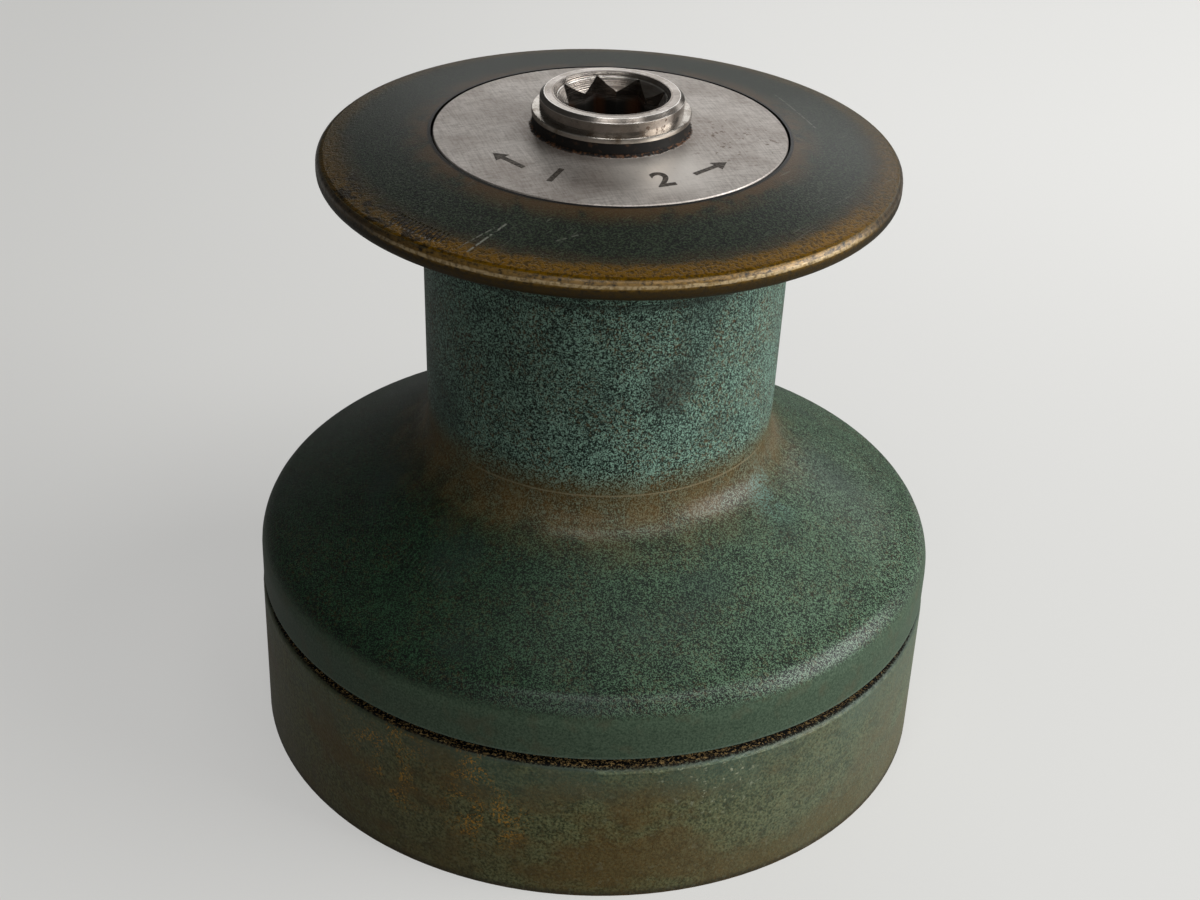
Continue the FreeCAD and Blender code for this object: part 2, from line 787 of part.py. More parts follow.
# Main spindle: stainless, with its own gear at the foot, a pawl carrier, and a round head whose
# eight-pointed socket is two squares turned half a right angle apart, under a countersunk mouth.

carrier_lip_radius = s.carrier_radius + s.carrier_lip
carrier_foot = middle_gear_bottom - s.carrier_lip_depth
washer_bottom = cap_boss_top + s.face_gap
washer_top = washer_bottom + s.washer_depth
circlip_top = washer_top + s.circlip_depth
spindle_top = circlip_top + s.collar_height
groove_radius = s.spindle_radius - s.circlip_groove
head_bottom = head_bush_bottom - s.head_lead
head_step = s.spindle_radius - s.shaft_radius
star_tip_radius = s.socket_square / math.sqrt(2)
star_ridge_radius = s.socket_square / (2 * math.cos(math.radians(22.5)))
socket_mouth_radius = star_tip_radius + s.socket_mouth_step
mouth_bottom = spindle_top - (socket_mouth_radius - star_ridge_radius)
SPINDLE_PAWL_HAND = -1
spindle = new_body("main_spindle")
turned(spindle, [
    (0, s.recess_depth - s.foot_proud),
    (s.journal_radius, s.recess_depth - s.foot_proud),
    (s.journal_radius, low_gear_bottom),
    (gear_tip(SPINDLE_TEETH), low_gear_bottom),
    (gear_tip(SPINDLE_TEETH), low_gear_top),
    (s.shaft_radius, low_gear_top),
    (s.shaft_radius, carrier_foot),
    (carrier_lip_radius, carrier_foot),
    (carrier_lip_radius, middle_gear_bottom),
    (s.carrier_radius, middle_gear_bottom),
    (s.carrier_radius, middle_gear_top),
    (s.shaft_radius, middle_gear_top),
    (s.shaft_radius, head_bottom - head_step),
    (s.spindle_radius, head_bottom),
    (s.spindle_radius, washer_top),
    (groove_radius, washer_top),
    (groove_radius, circlip_top),
    (s.spindle_radius, circlip_top),
    (s.spindle_radius, spindle_top - s.collar_chamfer),
    (s.spindle_radius - s.collar_chamfer, spindle_top),
    (socket_mouth_radius, spindle_top),
    (star_ridge_radius, mouth_bottom),
    (0, mouth_bottom),
])
star = outline_at(spindle, "Star", spindle_top, [
    polar(star_ridge_radius if i % 2 else star_tip_radius, STAR_DIRECTION + 22.5 * i) for i in range(16)
])
pocketed(spindle, "Socket", star, s.socket_depth)
cut_teeth(spindle, SPINDLE_TEETH, low_gear_bottom, low_gear_top)
cut_pawl_pockets(spindle, middle_gear_bottom, middle_gear_top, SPINDLE_PAWL_HAND)
for i in range(PAWLS_PER_CARRIER):
    turn = 360.0 * i / PAWLS_PER_CARRIER
    pawl(f"spindle_pawl_{i + 1}", middle_gear_bottom, middle_gear_top, SPINDLE_PAWL_HAND, 0, 0, turn)

washer = new_body("spindle_washer")
washer_radius = s.spindle_radius + s.washer_reach
ring(washer, s.spindle_radius + s.running_gap, washer_radius, washer_bottom, washer_top)
circlip = new_body("spindle_circlip")
circlip_radius = s.spindle_radius + s.circlip_reach
ring(circlip, groove_radius, circlip_radius, washer_top, circlip_top)
half_split = s.circlip_split / 2
past_circlip = circlip_radius + half_split
split = outline_at(circlip, "Split", circlip_top, [
    (-half_split, 0), (half_split, 0), (half_split, past_circlip), (-half_split, past_circlip),
])
pocketed(circlip, "SplitCut", split, s.circlip_depth)

# First-speed train: a free gear round the spindle's pawls, two idlers and the ring gear.

ratchet_tip = s.carrier_radius + s.ratchet_gap
ratchet_root = ratchet_tip + s.ratchet_depth
RATCHET_SHARE = 0.8


def ratchet_gear(label, teeth, bottom, top, hand):
    """A spur gear with ratchet teeth in its bore, whose ramps rise towards the hand's side."""
    gear = new_body(label)
    ring(gear, ratchet_tip, gear_tip(teeth), bottom, top)
    ramp = hand * RATCHET_SHARE * 360.0 / RATCHET_TEETH
    inside = ratchet_tip - s.ratchet_gap
    corners = [polar(inside, 0), polar(ratchet_root, 0), polar(inside, ramp)]
    notch = outline_at(gear, "RatchetNotch", top, corners)
    around(gear, "Ratchet", pocketed(gear, "RatchetCut", notch, top - bottom), RATCHET_TEETH)
    cut_teeth(gear, teeth, bottom, top)
    return gear


def idler_gear(label, bottom, top):
    gear = new_body(label)
    ring(gear, s.idler_pin_radius + s.running_gap, gear_tip(IDLER_TEETH), bottom, top)
    cut_teeth(gear, IDLER_TEETH, bottom, top)
    return gear


first_gear = ratchet_gear(
    "first_speed_gear", FIRST_GEAR_TEETH, middle_gear_bottom, middle_gear_top, -SPINDLE_PAWL_HAND
)
outer_idler = idler_gear("outer_idler_gear", middle_gear_bottom, ring_gear_top)
inner_idler = idler_gear("inner_idler_gear", middle_gear_bottom, middle_gear_top)
outer_turn = mating_turn(0.0, RING_TEETH, OUTER_IDLER_DIRECTION, IDLER_TEETH, internal=True)
between_idlers = math.degrees(math.atan2(
    inner_idler_at[1].value - outer_idler_at[1].value,
    inner_idler_at[0].value - outer_idler_at[0].value,
))
inner_turn = mating_turn(outer_turn, IDLER_TEETH, between_idlers, IDLER_TEETH)
first_turn = mating_turn(inner_turn, IDLER_TEETH, INNER_IDLER_DIRECTION + 180, FIRST_GEAR_TEETH)
place(outer_idler, *outer_idler_at, outer_turn)
place(inner_idler, *inner_idler_at, inner_turn)
place(first_gear, 0, 0, first_turn)

# Second-speed train: a large ratchet gear driven by the spindle's own teeth, round the pawl
# carrier of a pinion that drives the ring gear.

PINION_PAWL_HAND = -SPINDLE_PAWL_HAND
second_gear = ratchet_gear(
    "second_speed_gear", SECOND_GEAR_TEETH, low_gear_bottom, low_gear_top, -PINION_PAWL_HAND
)
second_turn = mating_turn(0.0, SPINDLE_TEETH, SECOND_GEAR_DIRECTION, SECOND_GEAR_TEETH)
place(second_gear, *second_gear_at, second_turn)
pinion = new_body("second_speed_pinion")
pinion_bore = s.second_pin_radius + s.running_gap
pinion_neck = s.second_pin_radius + s.pinion_neck_wall
turned(pinion, [
    (pinion_bore, low_boss_top),
    (carrier_lip_radius, low_boss_top),
    (carrier_lip_radius, low_gear_bottom),
    (s.carrier_radius, low_gear_bottom),
    (s.carrier_radius, low_gear_top),
    (pinion_neck, low_gear_top),
    (pinion_neck, ring_gear_bottom),
    (gear_tip(SECOND_PINION_TEETH), ring_gear_bottom),
    (gear_tip(SECOND_PINION_TEETH), ring_gear_top),
    (pinion_bore, ring_gear_top),
])
cut_teeth(pinion, SECOND_PINION_TEETH, ring_gear_bottom, ring_gear_top)
cut_pawl_pockets(pinion, low_gear_bottom, low_gear_top, PINION_PAWL_HAND)
pinion_turn = mating_turn(0.0, RING_TEETH, SECOND_GEAR_DIRECTION, SECOND_PINION_TEETH, internal=True)
place(pinion, *second_gear_at, pinion_turn)
for i in range(PAWLS_PER_CARRIER):
    turn = pinion_turn + 360.0 * i / PAWLS_PER_CARRIER
    label = f"pinion_pawl_{i + 1}"
    pawl(label, low_gear_bottom, low_gear_top, PINION_PAWL_HAND, *second_gear_at, turn)

doc.recompute()
os.makedirs("parts", exist_ok=True)
for thing in doc.Objects:
    if "Invalid" in thing.State or "Error" in thing.State:
        raise RuntimeError(f"{thing.Name} failed: {thing.State}")
for piece in pieces:
    if piece.Shape.isNull() or not piece.Shape.isValid() or not piece.Shape.Solids:
        raise RuntimeError(f"{piece.Label} has no sound shape")
for piece in pieces:
    piece.Shape.exportStep(f"parts/{piece.Label}.step")
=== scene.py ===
import math

import bpy
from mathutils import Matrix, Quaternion, Vector


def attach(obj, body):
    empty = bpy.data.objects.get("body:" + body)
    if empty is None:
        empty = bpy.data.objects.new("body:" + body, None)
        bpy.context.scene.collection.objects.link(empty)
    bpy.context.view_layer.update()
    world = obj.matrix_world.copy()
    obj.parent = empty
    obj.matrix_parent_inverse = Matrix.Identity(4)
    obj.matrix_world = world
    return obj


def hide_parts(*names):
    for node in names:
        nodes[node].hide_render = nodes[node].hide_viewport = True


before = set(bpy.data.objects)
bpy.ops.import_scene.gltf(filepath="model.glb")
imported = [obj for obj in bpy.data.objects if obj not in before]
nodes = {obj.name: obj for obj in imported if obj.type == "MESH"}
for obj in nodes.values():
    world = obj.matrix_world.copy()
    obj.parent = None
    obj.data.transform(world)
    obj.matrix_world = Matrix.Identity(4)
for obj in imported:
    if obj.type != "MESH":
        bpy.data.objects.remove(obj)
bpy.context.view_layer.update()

bpy.ops.object.select_all(action="DESELECT")


# The base: a sand-cast bronze ring that stands on the deck, its outer wall turned smooth and
# grown over with olive and brown patina. The spigot in the gap under the drum is painted near black
# as shade, and rusty crumbs have gathered on its ledge. Underneath and inside it is plain bronze.

class Wire:
    """A socket in a material, so that shader maths reads as plain maths."""

    def __init__(self, finish, socket):
        self.finish = finish
        self.socket = socket

    def maths(self, operation, *others):
        return self.finish.node("ShaderNodeMath", {"operation": operation}, dict(enumerate((self, *others))))

    def __add__(self, other):
        return self.maths("ADD", other)

    def __sub__(self, other):
        return self.maths("SUBTRACT", other)

    def __rsub__(self, other):
        return self.maths("MULTIPLY", -1.0) + other

    def __mul__(self, other):
        return self.maths("MULTIPLY", other)

    def __pow__(self, other):
        return self.maths("POWER", other)

    __radd__ = __add__
    __rmul__ = __mul__

    def between(self, low, high):
        """Nought at low and one at high, easing in and out, also where low is the larger."""
        values = {"Value": self, "From Min": low, "From Max": high}
        return self.finish.node("ShaderNodeMapRange", {"interpolation_type": "SMOOTHSTEP"}, values)

    def band(self, low, high, soft):
        """One from low to high, easing away to nought on both sides."""
        return self.between(low - soft, low) * (1 - self.between(high, high + soft))


def greatest(first, *others):
    """The greatest of some shares at each point."""
    for other in others:
        first = first.maths("MAXIMUM", other)
    return first


class Finish:
    """A material being made: its nodes, its shader and where a point lies on the winch."""

    RINGS_OUT = 0.8
    RINGS_UP = 1.3

    def __init__(self, name):
        self.material = bpy.data.materials.new(name)
        self.material.use_nodes = True
        self.tree = self.material.node_tree
        self.shader = self.tree.nodes["Principled BSDF"]
        self.place = self.node("ShaderNodeTexCoord", output="Object")
        self.x, self.y, self.z = (
            self.node("ShaderNodeSeparateXYZ", inputs={0: self.place}, output=side) for side in "XYZ")
        self.radius = (self.x * self.x + self.y * self.y) ** 0.5
        self.bearing = self.y.maths("ARCTAN2", self.x)

    def node(self, kind, settings=None, inputs=None, output=0):
        node = self.tree.nodes.new(kind)
        for name, value in (settings or {}).items():
            setattr(node, name, value)
        for name, value in (inputs or {}).items():
            self.feed(node.inputs[name], value)
        return Wire(self, node.outputs[output])

    def feed(self, socket, value):
        if isinstance(value, Wire):
            self.tree.links.new(value.socket, socket)
        else:
            socket.default_value = value

    def noise(self, scale, detail=2.0, roughness=0.5, stretch=None, turn=0.0):
        """Cloudy values about a half, scale of them a metre, drawn out along axes turned about Z."""
        place = self.place
        if stretch:
            values = {"Vector": place, "Scale": stretch, "Rotation": (0, 0, turn)}
            place = self.node("ShaderNodeMapping", {"vector_type": "TEXTURE"}, values)
        values = {"Vector": place, "Scale": scale, "Detail": detail, "Roughness": roughness}
        return self.node("ShaderNodeTexNoise", inputs=values)

    def tool_marks(self, scale):
        """The fine rings that a lathe leaves, about scale of them a metre out from the axis or up it."""
        rings = self.radius * self.RINGS_OUT + self.z * self.RINGS_UP
        values = {"W": rings, "Scale": scale, "Detail": 2.0}
        return self.node("ShaderNodeTexNoise", {"noise_dimensions": "1D"}, values)

    def near(self, place, reach):
        """One at a place on the winch, easing to nought at its reach."""
        settings = {"operation": "DISTANCE"}
        distance = self.node("ShaderNodeVectorMath", settings, {0: self.place, 1: place}, "Value")
        return distance.between(reach, reach / 4)

    def layers(self, colour, *coats):
        """A colour with coats of another colour and its share laid over it, one after the other."""
        for over, share in coats:
            values = {0: share, 6: colour, 7: over}
            colour = self.node("ShaderNodeMix", {"data_type": "RGBA", "clamp_factor": True}, values, 2)
        return colour

    def relief(self, *coats):
        """The slope of a surface with heights laid over it, each with its depth in metres."""
        slope = None
        for height, depth in coats:
            values = {"Height": height, "Distance": depth, "Strength": 1.0}
            if slope:
                values["Normal"] = slope
            slope = self.node("ShaderNodeBump", inputs=values)
        return slope

    def shade(self, **sockets):
        """Feeds the shader's sockets, named with low lines for their spaces."""
        for name, value in sockets.items():
            self.feed(self.shader.inputs[name.replace("_", " ")], value)

    def dress(self, *names):
        """Gives CAD nodes this material."""
        for name in names:
            nodes[name].data.materials.clear()
            nodes[name].data.materials.append(self.material)


def tint(red, green, blue):
    """A colour as it is seen, in 0 to 255, as the shader wants it."""
    def straight(value):
        share = value / 255
        return share / 12.92 if share <= 0.04045 else ((share + 0.055) / 1.055) ** 2.4
    return (straight(red), straight(green), straight(blue), 1.0)


BASE_TOP = 0.0366
SPIGOT_EDGE = 0.0804
INNER_WALL = 0.0768
GREEN_BELT = (0.019, 0.0355)
BROWN_BELT = (0.002, 0.017)
FOOT_SHADE_BAND = (0.0003, 0.0022)
TOP_EDGE = (0.0356, 0.0362)
LEDGE_CRUMBS = (0.0372, 0.0388)
GOLD_SPOTS = (
    ((-0.0460, -0.0660, 0.0330), 0.017),
    ((-0.0424, -0.0695, 0.0220), 0.012),
    ((-0.0250, -0.0775, 0.0335), 0.009),
    ((-0.0220, -0.0780, 0.0200), 0.013),
)
PALE_SPOTS = (
    ((0.0227, -0.0777, 0.0340), 0.010),
    ((0.0300, -0.0750, 0.0300), 0.012),
)

OLIVE = tint(46, 52, 26)
OLIVE_GRAIN = tint(122, 126, 88)
DARK_MOTTLE = tint(44, 46, 24)
PALE_MOTTLE = tint(134, 132, 92)
BROWN_PATINA = tint(98, 72, 32)
GREEN_PATINA = tint(76, 102, 88)
RIGHT_SHEEN_GREY = tint(98, 112, 98)
FOOT_BROWN = tint(88, 76, 42)
FOOT_SHADE = tint(44, 40, 30)
BARE_GOLD = tint(206, 148, 50)
PALE_SALT = tint(158, 162, 136)
TOP_EDGE_SHADE = tint(46, 60, 56)
LEFT_SHADE_BROWN = tint(66, 58, 26)
GAP_SHADE_BLACK = tint(10, 10, 7)
CRUMB_BROWN = tint(216, 180, 118)
PLAIN_BRONZE = tint(92, 74, 44)
DULL_BRONZE = tint(62, 52, 36)

base = Finish("base_bronze")
fine_grain = base.noise(1500, 3.0, 0.6)
mottle = base.noise(260, 4.0, 0.65)
soft_clouds = base.noise(55, 3.0)
brown_clouds = base.noise(38, 4.0, 0.6, stretch=(1, 1, 0.6)).between(0.43, 0.6)
fine_specks = base.noise(1900, 3.0, 0.7)
gold_patches = greatest(*(base.near(*spot) for spot in GOLD_SPOTS))
gold_patches = gold_patches * base.noise(180, 2.0).between(0.42, 0.58) * 0.85
pale_patches = greatest(*(base.near(*spot) for spot in PALE_SPOTS))
wall = base.layers(
    OLIVE,
    (OLIVE_GRAIN, fine_grain.between(0.32, 0.68)),
    (DARK_MOTTLE, mottle.between(0.5, 0.36) * 0.6),
    (PALE_MOTTLE, mottle.between(0.56, 0.72) * 0.4),
    (BROWN_PATINA, brown_clouds * (0.35 + mottle * 0.55)),
    (GREEN_PATINA, base.z.between(*GREEN_BELT) * soft_clouds.between(0.3, 0.6) * 0.55),
    # painted sheen: the right of the wall, towards the window, is lighter and greyer
    (RIGHT_SHEEN_GREY, base.x.between(0.0, 0.07) * (0.2 + fine_grain * 0.6)),
    (FOOT_BROWN, (1 - base.z.between(*BROWN_BELT)) * soft_clouds.between(0.25, 0.65) * 0.5),
    # painted shade: a dark band at the foot, where the base meets the deck
    (FOOT_SHADE, (1 - base.z.between(*FOOT_SHADE_BAND)) * 0.8),
    (BARE_GOLD, fine_specks.between(0.52, 0.6) * (gold_patches + 0.05)),
    (PALE_SALT, base.noise(780, 2.0).between(0.6, 0.72) * (pale_patches + 0.14)),
    # painted shade: the rounded top edge is darkened against the light it catches
    (TOP_EDGE_SHADE, base.z.between(*TOP_EDGE) * (0.35 + fine_grain * 0.5)),
    # painted shade: the left of the wall, away from the light, is darker and browner
    (LEFT_SHADE_BROWN, base.x.between(0.0, -0.06) * (0.15 + mottle * 0.5)),
)
crumbs = fine_specks.between(0.5, 0.6)
crumb_share = crumbs * (0.35 + base.x.between(0.06, 0.0) * 0.6) * (1 - base.z.between(*LEDGE_CRUMBS) * 0.8)
# painted shade: the gap is near black, with the real rusty crumbs laid over it
gap = base.layers(GAP_SHADE_BLACK, (CRUMB_BROWN, crumb_share))
plain = base.layers(PLAIN_BRONZE, (DULL_BRONZE, base.noise(120, 3.0).between(0.35, 0.65)))
on_inside = greatest(base.radius.between(INNER_WALL + 0.0006, INNER_WALL), base.z.between(0.0004, 0.0001))
ragged_radius = base.radius + (crumbs - 0.5) * 0.0006
in_gap = ragged_radius.between(SPIGOT_EDGE + 0.0003, SPIGOT_EDGE)
in_gap = in_gap * base.z.between(BASE_TOP - 0.0011, BASE_TOP - 0.0001)
base.shade(
    Base_Color=base.layers(wall, (plain, on_inside), (gap, in_gap)),
    Roughness=0.4 + mottle * 0.16 + in_gap * 0.4 - soft_clouds * 0.06,
    Normal=base.relief((mottle, 0.00022), (fine_grain, 0.00012), (crumbs * in_gap, 0.0005)),
    Metallic=0.12,
    Specular_IOR_Level=0.25,
)
base.dress("base_casting")

# The drum: one bronze casting, turned and then blasted rough on its neck and shoulder so that the
# rope grips. Green patina lies in the roughness, brown dirt in the fillet at the neck's foot, and
# the rope and hands have worn the lip of the top flange back to golden bronze.

SKIRT_FOOT = (0.0402, 0.0395)
SKIRT_SIDE = (0.0775, 0.0785)
SHOULDER_EDGE = 0.0515
FILLET_FOOT = (0.0675, 0.0775)
FILLET_HEAD = (0.0885, 0.0800)
SHOULDER_TO_NECK = (0.070, 0.082)
NECK_FOOT = 0.0806
NECK_LINE = (0.1272, 0.1282)
UNDER_FLANGE = (0.131, 0.136)
LIP_UNDERSIDE = (0.1408, 0.1415)
LIP_MIDDLE = 0.1440
FLANGE_TOP = 0.1455
CAP_GAP = (0.0406, 0.0402)
DIRT_ROUND_CAP = (0.048, 0.0402)
WORN_RIM = (0.0545, 0.0605)
GOLDEN_RIM = (0.0582, 0.0618)
LIP_EDGE = (0.0600, 0.0625)
BORE_WALL = (0.0388, 0.0394)
GEAR_ROOM_TOP = (0.0512, 0.0500)
GEAR_ROOM_WALL = (0.0760, 0.0750)
SHOULDER_ROUND = (0.0505, 0.0530)
SHOULDER_ROUND_SIDE = (0.0740, 0.0760)
FLARE = (0.060, 0.074)
NECK_SHEEN = (0.075, 0.100)
LIP_SHEEN = (0.1436, 0.1446)
CHATTER_RING = (0.0585, 0.0612)
CHATTERS_A_TURN = 330.0
TEAL_SPOT = ((0.040, -0.024, 0.074), 0.011)
NECK_SMUDGE = ((0.015, -0.0384, 0.107), 0.009)
CROWN_SCRATCHES = (
    ((-0.0275, -0.0552), (-0.0203, -0.0460), 0.00025, 1.0),
    ((-0.0295, -0.0536), (-0.0226, -0.0472), 0.00015, 0.7),
    ((0.0460, 0.0100), (0.0380, 0.0300), 0.00020, 0.5),
    ((-0.0100, -0.0520), (-0.0050, -0.0495), 0.00015, 0.5),
)

# Bearings about the axis, in radians, with the front of the drum at minus a quarter turn.
FRONT_SIDE = (-2.05, -0.80)
NEAR_HALF = (-2.75, -0.15)
NECK_EDGE_SIDE = (-2.20, -0.60)
NICKED_SIDE = (-2.70, -2.20)
CHATTER_SIDE = (-2.36, -2.16)
LIP_HIGHLIGHT_SIDE = (-2.15, -0.80)
HANDLED_SIDE = (-1.90, -0.10)

NECK_PITS = tint(5, 20, 13)
NECK_GREEN = tint(152, 190, 170)
SHOULDER_PITS = tint(2, 16, 5)
SHOULDER_GREEN = tint(106, 138, 108)
SHADED_PITS = tint(0, 5, 1)
SHADED_GREEN = tint(22, 62, 34)
RUST = tint(112, 74, 26)
CLOUD_GREEN = tint(40, 56, 50)
FILLET_BROWN = tint(104, 77, 26)
CREASE_HIGHLIGHT = tint(150, 138, 108)
TEAL_PATINA = tint(96, 140, 130)
SMUDGE = tint(34, 36, 32)
FAINT_LINE = tint(30, 34, 28)
FLANGE_SHADE = tint(40, 36, 26)
SKIRT_GREEN = tint(52, 70, 54)
SKIRT_GRAIN = tint(88, 106, 86)
SKIRT_BROWN = tint(88, 84, 64)
SKIRT_SHADE = tint(20, 40, 26)
SKIRT_FOOT_HIGHLIGHT = tint(128, 144, 134)
CROWN_PITS = tint(0, 2, 0)
CROWN_GREEN = tint(56, 68, 50)
CROWN_BROWN = tint(78, 56, 28)
WORN_BROWN = tint(64, 46, 12)
WORN_GOLD = tint(140, 100, 0)
CAP_GAP_SHADE = tint(8, 7, 5)
DARK_NICK = tint(22, 17, 8)
CHATTER_DARK = tint(20, 16, 10)
SCRATCH_GREY = tint(138, 140, 128)
LIP_DARK = tint(18, 15, 9)
LIP_GOLD = tint(132, 100, 38)
LIP_HIGHLIGHT_GOLD = tint(206, 182, 140)
LIP_UNDER_DARK = tint(14, 13, 9)
LIP_UNDER_BROWN = tint(50, 41, 24)
CUT_BRONZE = tint(104, 84, 50)


def scratch(finish, start, end, width):
    """A thin line from start to end, seen from above, that skips here and there."""
    run = math.dist(start, end)
    along = [(b - a) / run for a, b in zip(start, end)]
    x, y = finish.x - start[0], finish.y - start[1]
    line = (x * along[0] + y * along[1]).band(0.0003, run - 0.0003, 0.0006)
    across = (y * along[0] - x * along[1]).band(-width / 2, width / 2, 0.0002)
    return line * across * finish.noise(900, 1.0).between(0.38, 0.5)


drum = Finish("drum_bronze")
blasting = drum.noise(1550, 3.0, 0.7)
sand = drum.noise(3200, 3.0, 0.7)
grain = drum.noise(2100, 3.0, 0.7)
nicks = drum.noise(1200, 3.0, 0.65).between(0.62, 0.42)
wide_clouds = drum.noise(42, 3.0)
close_clouds = drum.noise(150, 3.0, 0.6)
wander = close_clouds - 0.5
height = drum.z + wander * 0.006
wavy_radius = drum.radius + wander * 0.004

on_top = drum.z.between(FLANGE_TOP - 0.0003, FLANGE_TOP + 0.0001)
on_skirt = (drum.z + wander * 0.0015).between(SHOULDER_EDGE, SHOULDER_EDGE - 0.0030)
on_skirt = on_skirt * drum.radius.between(*SKIRT_SIDE)
on_lip = (1 - on_top) * drum.z.between(*LIP_UNDERSIDE) * drum.radius.between(*LIP_EDGE)
on_rough = (1 - on_skirt) * (1 - on_top) * (1 - on_lip)
in_gear_room = drum.z.between(*GEAR_ROOM_TOP) * drum.radius.between(*GEAR_ROOM_WALL)
on_inside = greatest(1 - drum.radius.between(*BORE_WALL), in_gear_room)

fine_pits = (sand + (blasting - 0.5) * 0.5 + wander * 0.1).between(0.43, 0.59)
pitted = fine_pits * fine_pits
# painted shade: the left of the rough bronze takes shaded copies of its colours
painted_shade_side = drum.x.between(0.060, -0.040) * 0.88
rust = drum.noise(1300, 3.0, 0.65).between(0.52, 0.62) * drum.noise(110, 2.0).between(0.38, 0.6)
rust = rust * (0.35 + drum.z.between(*SHOULDER_TO_NECK) * 0.65) * (1 - painted_shade_side * 0.4)
in_fillet = height.between(*FILLET_FOOT) * height.between(*FILLET_HEAD)
fillet_dirt = in_fillet * (0.3 + close_clouds.between(0.35, 0.6) * 0.25 + sand.between(0.4, 0.6) * 0.3)
# painted highlight: a pale line along the crease at the neck's foot, on the front
neck_crease_highlight = drum.z.band(NECK_FOOT - 0.0001, NECK_FOOT + 0.0001, 0.0002)
neck_crease_highlight = neck_crease_highlight * drum.bearing.band(*NECK_EDGE_SIDE, 0.3)
rough = drum.layers(
    SHOULDER_PITS,
    (SHOULDER_GREEN, pitted),
    (drum.layers(SHADED_PITS, (SHADED_GREEN, pitted)), painted_shade_side),
    (drum.layers(NECK_PITS, (NECK_GREEN, pitted)), height.between(*SHOULDER_TO_NECK)),
    (RUST, rust * 0.65),
    (CLOUD_GREEN, wide_clouds.between(0.5, 0.72) * 0.5),
    (FILLET_BROWN, fillet_dirt),
    (CREASE_HIGHLIGHT, neck_crease_highlight * 0.6),
    (TEAL_PATINA, drum.near(*TEAL_SPOT) * close_clouds.between(0.42, 0.55) * fine_pits * 0.7),
    (SMUDGE, drum.near(*NECK_SMUDGE) * 0.6),
    (FAINT_LINE, drum.z.band(*NECK_LINE, 0.0006) * 0.5),
    (FLANGE_SHADE, drum.z.between(*UNDER_FLANGE) * 0.7),
)
smooth = drum.layers(
    SKIRT_GREEN,
    (SKIRT_GRAIN, grain.between(0.3, 0.7)),
    (SKIRT_BROWN, close_clouds.between(0.5, 0.7) * 0.4),
    (SKIRT_SHADE, drum.x.between(-0.03, -0.078) * 0.45),
    # painted highlight: the skirt's bottom edge is a little lighter
    (SKIRT_FOOT_HIGHLIGHT, drum.z.between(*SKIRT_FOOT) * 0.2),
)

front_wear = drum.bearing.band(*FRONT_SIDE, 0.45) * 0.75 + 0.25
round_wear = drum.bearing.band(*NEAR_HALF, 0.7) * 0.85 + 0.15
worn_rim = wavy_radius.between(*WORN_RIM)
golden_rim = wavy_radius.between(*GOLDEN_RIM) * front_wear
dark_nicks = drum.noise(420, 3.0, 0.65, stretch=(1.8, 1, 1), turn=-0.8).between(0.5, 0.6)
dark_nicks = dark_nicks * worn_rim * drum.bearing.band(*NICKED_SIDE, 0.2)
chatter = (drum.bearing * CHATTERS_A_TURN).maths("SINE").between(-0.2, 0.5)
chatter = chatter * drum.bearing.band(*CHATTER_SIDE, 0.05) * drum.radius.band(*CHATTER_RING, 0.0006)
swirls = drum.noise(1900, 1.0, stretch=(22, 1, 1), turn=0.9).between(0.71, 0.74) * 0.2
scratches = greatest(*(scratch(drum, *line) * share for *line, share in CROWN_SCRATCHES), swirls)
crown = drum.layers(
    CROWN_PITS,
    (CROWN_GREEN, grain.between(0.43, 0.64)),
    (CROWN_BROWN, drum.radius.between(*DIRT_ROUND_CAP) * close_clouds.between(0.3, 0.55) * 0.8),
    (WORN_BROWN, worn_rim * round_wear * (0.4 + nicks * 0.35)),
    (WORN_GOLD, golden_rim * (0.3 + nicks * 0.65)),
    # painted shade: the gap round the cap is near black
    (CAP_GAP_SHADE, drum.radius.between(*CAP_GAP)),
    (DARK_NICK, dark_nicks * 0.85),
    (CHATTER_DARK, chatter * 0.8),
    (SCRATCH_GREY, scratches * 0.8),
)
lip_wear = drum.noise(750, 4.0, 0.7, stretch=(1, 1, 0.6)).between(0.3, 0.62)
# painted highlight: a thin pale line round the middle of the lip, broken by nicks, on the front
lip_highlight_line = (drum.z + wander * 0.0006).band(LIP_MIDDLE, LIP_MIDDLE + 0.0004, 0.0003)
lip_highlight_line = lip_highlight_line * (0.3 + nicks * 0.7) * drum.bearing.band(*LIP_HIGHLIGHT_SIDE, 0.35)
under_lip = drum.layers(LIP_UNDER_DARK, (LIP_UNDER_BROWN, front_wear))
lip = drum.layers(
    LIP_DARK,
    (LIP_GOLD, lip_wear * front_wear),
    (LIP_HIGHLIGHT_GOLD, lip_highlight_line * 0.8),
    (under_lip, drum.z.between(LIP_MIDDLE, LIP_MIDDLE - 0.0010) * 0.85),
)
handled = greatest(
    drum.z.band(*SHOULDER_ROUND, 0.0012) * drum.radius.between(*SHOULDER_ROUND_SIDE),
    height.band(*FLARE, 0.009),
    height.between(*NECK_SHEEN) * 0.3,
)
handled = handled * (fine_pits * 0.4 + 0.28) * on_rough * drum.bearing.band(*HANDLED_SIDE, 0.5)
lip_gloss = on_lip * drum.z.between(*LIP_SHEEN) * (0.4 + lip_wear * 0.6)
drum.shade(
    Base_Color=drum.layers(
        rough, (smooth, on_skirt), (lip, on_lip), (crown, on_top), (CUT_BRONZE, on_inside * (1 - on_top))),
    Metallic=0.08 + greatest(on_lip * lip_wear * 0.5, golden_rim * on_top * 0.6),
    Roughness=0.42 + grain * 0.1 - on_top * 0.13,
    Coat_Weight=greatest(handled, lip_gloss, on_top * 0.05),
    Coat_Roughness=0.33,
    Specular_IOR_Level=0.2,
    Normal=drum.relief(
        ((blasting * 0.5 + sand) * greatest(on_rough, on_top * 0.1), 0.00032),
        (grain, 0.00004),
        ((nicks * worn_rim * on_top + lip_wear * on_lip) * 0.3 - chatter, 0.00010)),
)
drum.dress("drum_casting")
